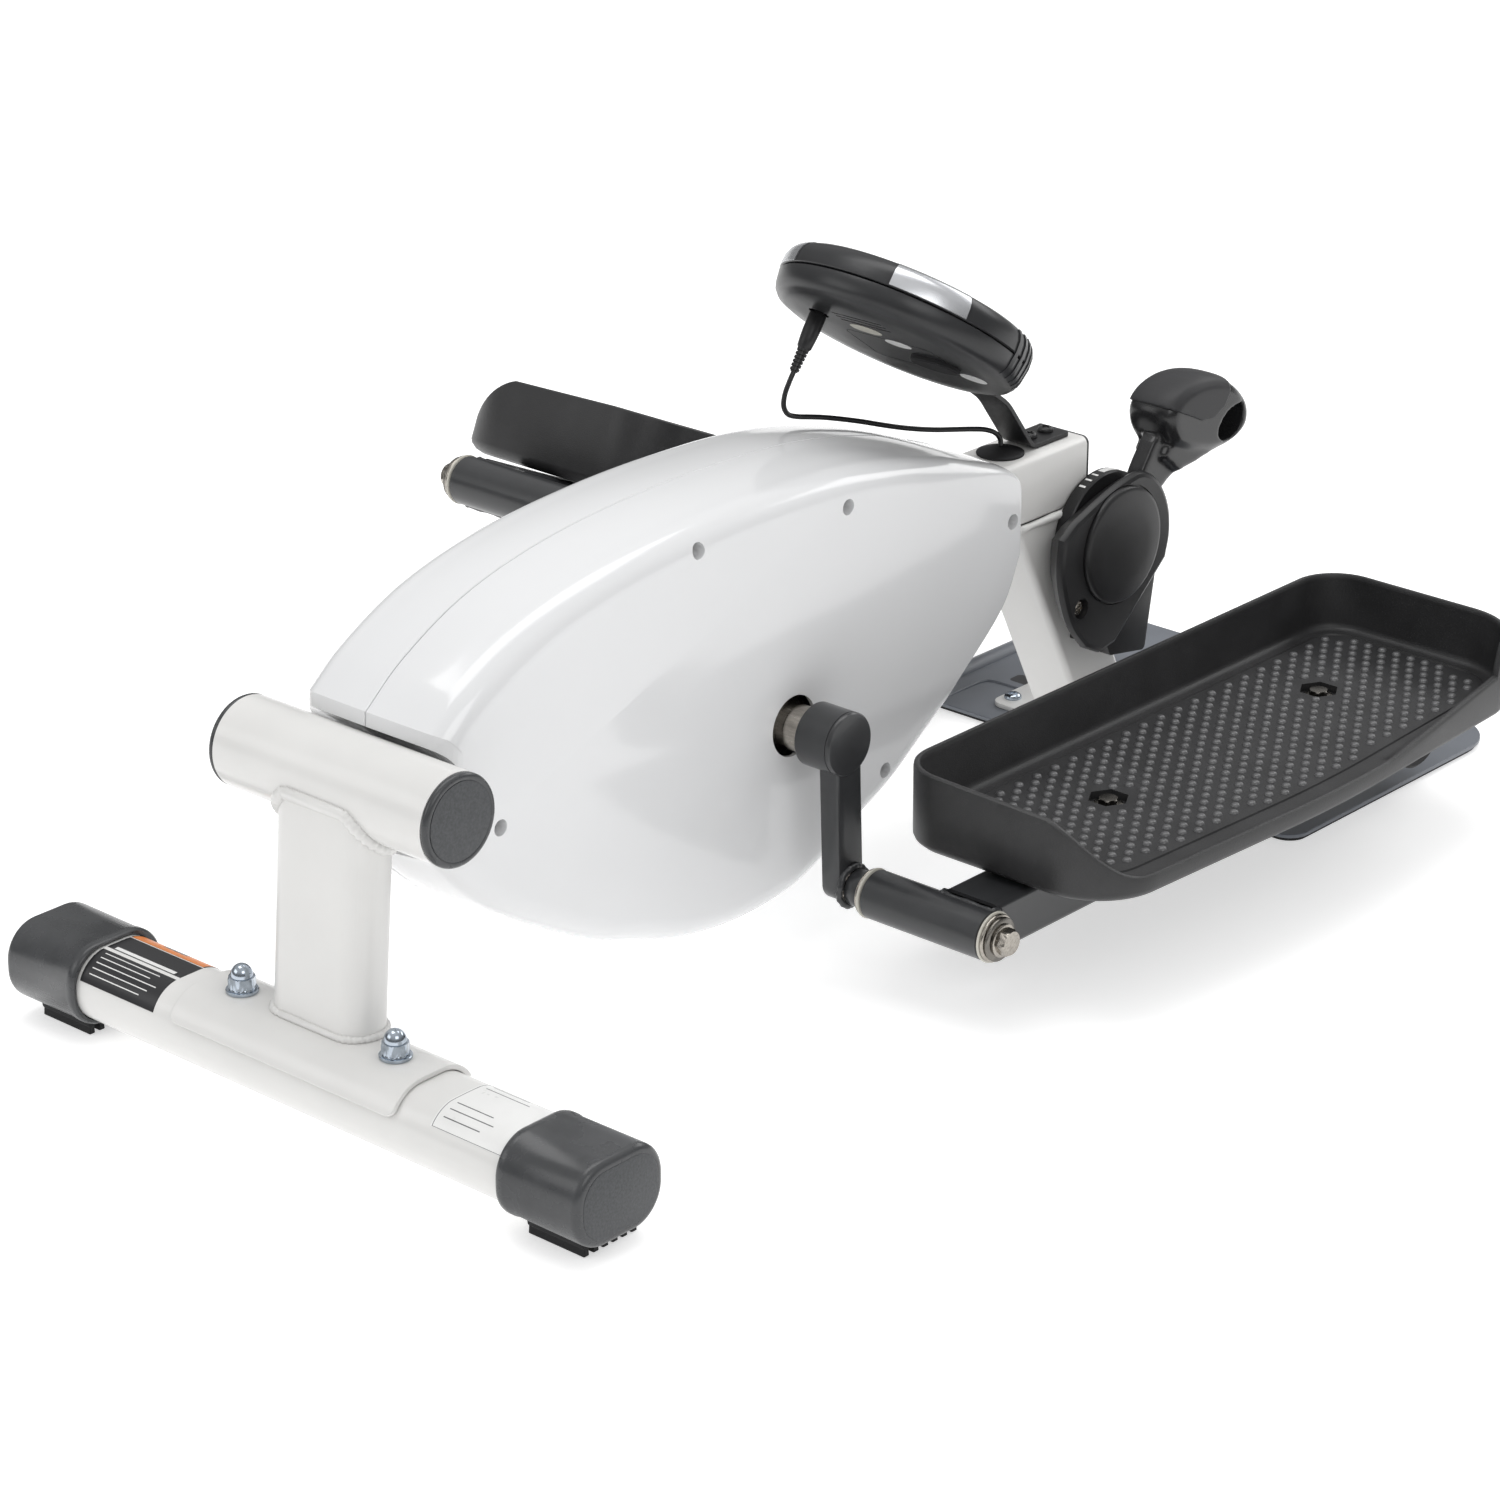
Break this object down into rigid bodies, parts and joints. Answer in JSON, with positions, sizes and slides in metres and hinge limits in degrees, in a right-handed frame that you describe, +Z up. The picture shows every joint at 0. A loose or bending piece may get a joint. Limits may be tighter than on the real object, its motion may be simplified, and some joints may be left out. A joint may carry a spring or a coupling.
{
  "type": "pedal exerciser",
  "caption": "Under-desk elliptical pedal exerciser: cranks, foot trays on rear rollers, boat-shaped casing, round console and tension lever.",
  "frame": {"origin": "centre of the footprint's bounding box, on the floor", "axes": "+X is the user's left, +Y points to the user, +Z is up"},
  "size_m": [0.5036, 0.868, 0.3753],
  "materials": {
    "frame_white": "satin powder coat",
    "shell_white": "glossy moulding",
    "cap_black": "fine grain",
    "bracket_black": "satin black",
    "pad_rubber": "matte",
    "tray_black": "leather grain",
    "arm_grey": "satin charcoal",
    "plate_grey": "semi-gloss slate",
    "zinc": "zinc plated",
    "steel": "machined",
    "flywheel_iron": "turned rim",
    "drive_plastic": "moulded",
    "console_grey": "fine grain",
    "lens": "clear window over a dark display",
    "cable_black": "soft PVC"
  },
  "bodies": {
    "frame": {"stabilizer_tube": "frame_white", "stabilizer_cap_left": "cap_black", "stabilizer_cap_right": "cap_black", "stabilizer_pad_left": "pad_rubber", "stabilizer_pad_right": "pad_rubber", "saddle_plate": "frame_white", "front_post": "frame_white", "cross_tube": "frame_white", "cross_tube_plug_left": "cap_black", "cross_tube_plug_right": "cap_black", "acorn_nut_left": "zinc", "acorn_nut_right": "zinc", "spine_tube": "frame_white", "spine_end_cap": "cap_black", "bottom_bracket": "frame_white", "flywheel_hanger": "frame_white", "crank_bearing_left": "steel", "crank_bearing_right": "steel", "shell_left": "shell_white", "shell_right": "shell_white", "rear_post": "frame_white", "foot_flange": "frame_white", "base_plate": "plate_grey", "base_grip": "pad_rubber", "foot_screw_left": "zinc", "foot_screw_right": "zinc", "drive_belt": "pad_rubber", "console_bottom": "console_grey", "console_top": "console_grey", "console_lens": "lens", "console_bracket": "bracket_black", "bracket_screw_front": "bracket_black", "bracket_screw_rear": "bracket_black", "cable_grommet": "pad_rubber", "sensor_cable": "cable_black", "jack_plug": "cable_black", "tension_housing": "tray_black", "tension_disc": "tray_black"},
    "crank": {"crank_axle": "steel", "drive_pulley": "drive_plastic", "crank_arm_left": "arm_grey", "crank_arm_right": "arm_grey", "pedal_bolt_left": "zinc", "pedal_bolt_right": "zinc"},
    "left_pedal": {"pedal_frame_left": "arm_grey", "foot_tray_left": "tray_black", "tray_bolt_left_front": "steel", "tray_bolt_left_rear": "steel"},
    "right_pedal": {"pedal_frame_right": "arm_grey", "foot_tray_right": "tray_black", "tray_bolt_right_front": "steel", "tray_bolt_right_rear": "steel"},
    "left_roller": {"roller_left": "pad_rubber"},
    "right_roller": {"roller_right": "pad_rubber"},
    "flywheel_set": {"flywheel": "flywheel_iron", "pulley_shaft": "steel"},
    "brake": {"magnet_carriage": "drive_plastic"},
    "lever": {"tension_lever": "tray_black", "tension_drum": "tray_black"},
    "key": {"mode_key": "console_grey"}
  },
  "joints": [
    {"name": "crank_turn", "type": "hinge", "parent": "frame", "child": "crank", "pos_m": [0, -0.094, 0.1394], "axis": [1, 0, 0], "range_deg": [0, 180]},
    {"name": "left_pedal_pitch", "type": "hinge", "parent": "crank", "child": "left_pedal", "pos_m": [0, -0.09076, 0.05496], "axis": [1, 0, 0], "range_deg": [-197.1, 0]},
    {"name": "right_pedal_pitch", "type": "hinge", "parent": "crank", "child": "right_pedal", "pos_m": [0, -0.09724, 0.22384], "axis": [1, 0, 0], "range_deg": [-153, 0]},
    {"name": "left_roller_spin", "type": "hinge", "parent": "left_pedal", "child": "left_roller", "pos_m": [0.172, 0.32724, 0.03896], "axis": [1, 0, 0], "continuous": true},
    {"name": "right_roller_spin", "type": "hinge", "parent": "right_pedal", "child": "right_roller", "pos_m": [-0.172, 0.27583, 0.03463], "axis": [1, 0, 0], "continuous": true},
    {"name": "flywheel_spin", "type": "hinge", "parent": "frame", "child": "flywheel_set", "pos_m": [0, -0.259, 0.15], "axis": [1, 0, 0], "continuous": true},
    {"name": "lever_turn", "type": "hinge", "parent": "frame", "child": "lever", "pos_m": [0.025, 0.214, 0.158], "axis": [1, 0, 0], "range_deg": [0, 40]},
    {"name": "brake_swing", "type": "hinge", "parent": "frame", "child": "brake", "pos_m": [0.032, -0.2114, 0.2067], "axis": [1, 0, 0], "range_deg": [-4, 0]},
    {"name": "mode_key_press", "type": "slide", "parent": "frame", "child": "key", "axis": [0, -0.5878, -0.809], "range_m": [0, 0.0012], "stiffness_N_per_m": 900, "springref_m": -0.0005}
  ],
  "couplings": [
    {"joint": "left_pedal_pitch", "follows": "crank_turn", "ratio": -1.095},
    {"joint": "right_pedal_pitch", "follows": "crank_turn", "ratio": -0.85},
    {"joint": "flywheel_spin", "follows": "crank_turn", "ratio": 2.96},
    {"joint": "brake_swing", "follows": "lever_turn", "ratio": -0.1}
  ]
}
